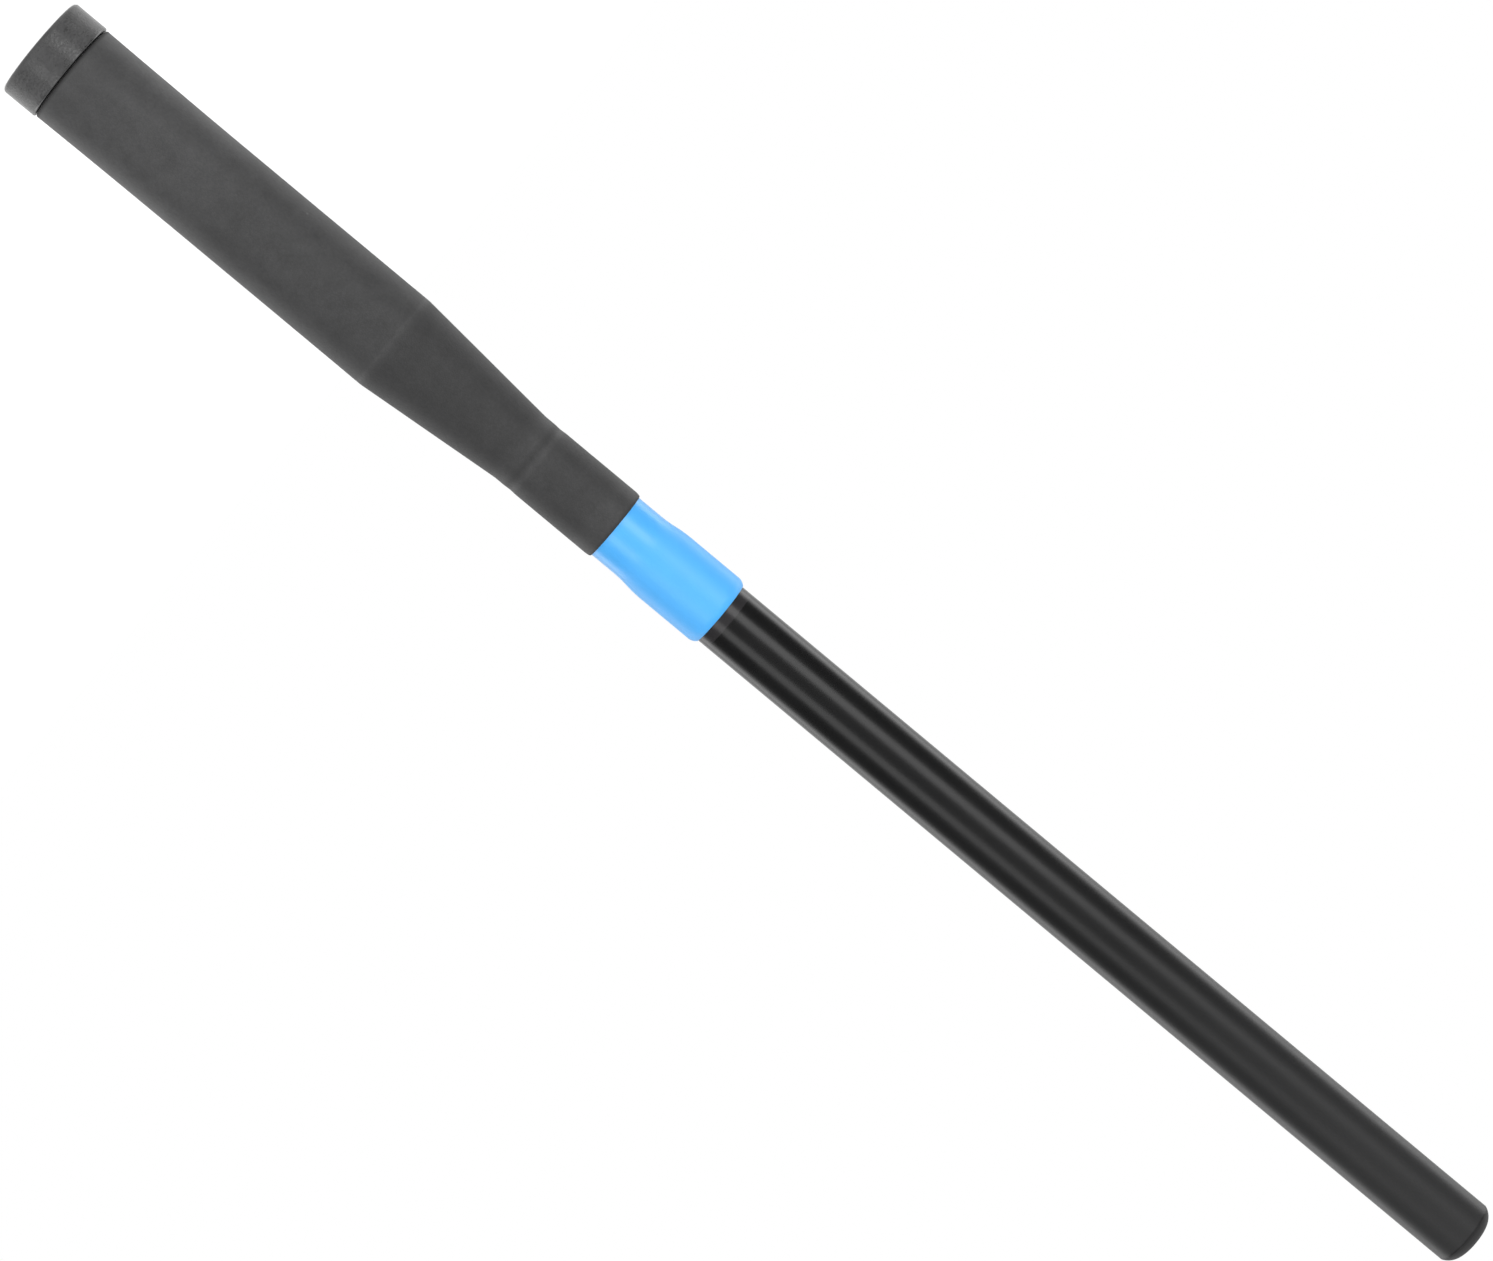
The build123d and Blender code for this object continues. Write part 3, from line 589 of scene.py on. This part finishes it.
def sleeve_relief(point, outward):
    """The stretched skin's slow unevenness, on its outside only."""
    radius = Vector((point.x, point.y)).length
    if outward.x * point.x + outward.y * point.y < 0.5 * radius:
        return 0.0
    edge = min(point.z - sleeve_low.z, sleeve_high.z - point.z)
    fade = max(0.0, min(1.0, edge / (2 * MM)))
    stretch = dents(Vector((point.x, point.y, point.z * 0.5)), 15 * MM, 0.06 * MM)
    fine = dents(point, 4 * MM, 0.02 * MM, offset=(5, 9, 2))
    return -fade * (stretch + fine)


sleeve = turned("foam_skin", divided(sleeve_outline(), SLEEVE_RUN), sleeve_relief)
sleeve.data.materials.append(materials["sleeve_foam"])
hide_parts("foam_sleeve")
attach(sleeve, "stick")


# ---- Camera
def add_camera():
    """A level camera, square on to the stick, that is rolled to lean it and shifted to frame it."""
    look = Vector((0, 1, 0))
    along = Vector((0, 0, 1))
    across = along.cross(look)
    right = along * math.cos(LEAN) + across * math.sin(LEAN)
    up = right.cross(look)
    data = bpy.data.cameras.new("camera")
    data.lens = LENS
    data.sensor_width = SENSOR
    middle = along * (MIDDLE_UP - CAMERA_UP) + across * MIDDLE_ASIDE
    shift = LENS / SENSOR / CAMERA_DISTANCE
    data.shift_x = middle.dot(right) * shift
    data.shift_y = middle.dot(up) * shift
    camera = bpy.data.objects.new("camera", data)
    scene.collection.objects.link(camera)
    turn = Matrix((right, up, -look)).transposed().to_4x4()
    camera.matrix_world = Matrix.Translation((0, -CAMERA_DISTANCE, CAMERA_UP)) @ turn
    scene.camera = camera


# ---- Studio: two soft boxes beside the camera, two behind the stick, a white world and a pale floor
def soft_box(name, angle, width, length, height, radiance):
    """A lamp panel parallel to the stick. angle, in degrees, is from the camera's side towards +X."""
    data = bpy.data.lights.new(name, "AREA")
    data.shape = "RECTANGLE"
    data.size = width
    data.size_y = length
    data.energy = radiance * math.pi * width * length
    lamp = bpy.data.objects.new(name, data)
    scene.collection.objects.link(lamp)
    turn = math.radians(angle)
    place = Vector((LAMP_DISTANCE * math.sin(turn), -LAMP_DISTANCE * math.cos(turn), height))
    direction = (Vector((0, 0, height)) - place).normalized()
    lamp.matrix_world = Matrix.Translation(place) @ direction.to_track_quat("-Z", "Y").to_matrix().to_4x4()
    lamp.visible_camera = False


def add_world():
    """A world that is white to the eye and through glass.

    Gloss mirrors a dark room with a bright backdrop, where Y points away from the camera, a bright ceiling
    and a soft glow round the camera. Dull surfaces get a soft fill that is strongest low down and on the
    camera's side.
    """
    world = bpy.data.worlds.new("studio")
    scene.world = world
    world.use_nodes = True
    tree = world.node_tree
    tree.nodes.clear()
    ray = add(tree, "ShaderNodeLightPath").outputs
    seen = math_node(tree, "MAXIMUM", ray["Is Camera Ray"], ray["Is Transmission Ray"])
    direction = add(tree, "ShaderNodeSeparateXYZ", {
        "Vector": add(tree, "ShaderNodeTexCoord").outputs["Generated"],
    }).outputs
    backdrop = map_range(tree, direction["Y"], 0.1, 0.4, low=0.04, smooth=True)
    camera_side = map_range(tree, direction["Y"], -0.9, -0.97, high=0.3, smooth=True)
    ceiling = map_range(tree, direction["Z"], 0.2, 0.7, high=0.9, smooth=True)
    walls = math_node(tree, "MAXIMUM", backdrop, camera_side)
    mirrored = math_node(tree, "MAXIMUM", walls, ceiling)
    low_light = map_range(tree, direction["Z"], 0.0, 1.0, 0.88, 0.12)
    front_light = map_range(tree, direction["Y"], 0.0, -1.0, 0.8, 2.3)
    fill = math_node(tree, "MULTIPLY", low_light, front_light)
    unseen = choose(tree, ray["Is Glossy Ray"], fill, mirrored)
    level = choose(tree, seen, unseen, 1.0)
    background = add(tree, "ShaderNodeBackground", {"Color": (1, 1, 1, 1), "Strength": level})
    add(tree, "ShaderNodeOutputWorld", {"Surface": background.outputs["Background"]})


def add_floor():
    """A pale floor that keeps the stick's shadow and is white to the eye, to gloss and through glass."""
    half = FLOOR_SIZE / 2
    corners = [(-half, -half, 0), (half, -half, 0), (half, half, 0), (-half, half, 0)]
    mesh = bpy.data.meshes.new("floor")
    mesh.from_pydata(corners, [], [(0, 1, 2, 3)])
    floor = bpy.data.objects.new("floor", mesh)
    scene.collection.objects.link(floor)
    material, tree, shader = new_material("pale_floor")
    paper = ramp(tree, speckle(tree, 3 * MM, object_place(tree)), [(0.3, 0.79), (0.7, 0.81)])
    tree.links.new(paper, shader.inputs["Base Color"])
    shader.inputs["Roughness"].default_value = 0.9
    shader.inputs["Specular IOR Level"].default_value = 0.0
    ray = add(tree, "ShaderNodeLightPath").outputs
    seen = math_node(tree, "MAXIMUM", ray["Is Camera Ray"], ray["Is Transmission Ray"])
    seen = math_node(tree, "MAXIMUM", seen, ray["Is Glossy Ray"])
    shader.inputs["Emission Color"].default_value = (1, 1, 1, 1)
    tree.links.new(math_node(tree, "MULTIPLY", seen, FLOOR_GLOW), shader.inputs["Emission Strength"])
    mesh.materials.append(material)


add_camera()
soft_box("soft_box_left", -33, width=0.6, length=0.8, height=0.41, radiance=3.5)
soft_box("soft_box_right", 36, width=0.56, length=0.8, height=0.41, radiance=2.45)
soft_box("rim_box_left", -120, width=0.5, length=1.2, height=0.6, radiance=2.0)
soft_box("rim_box_right", 122, width=0.5, length=1.2, height=0.6, radiance=1.7)
add_world()
add_floor()

scene.view_settings.view_transform = "Standard"
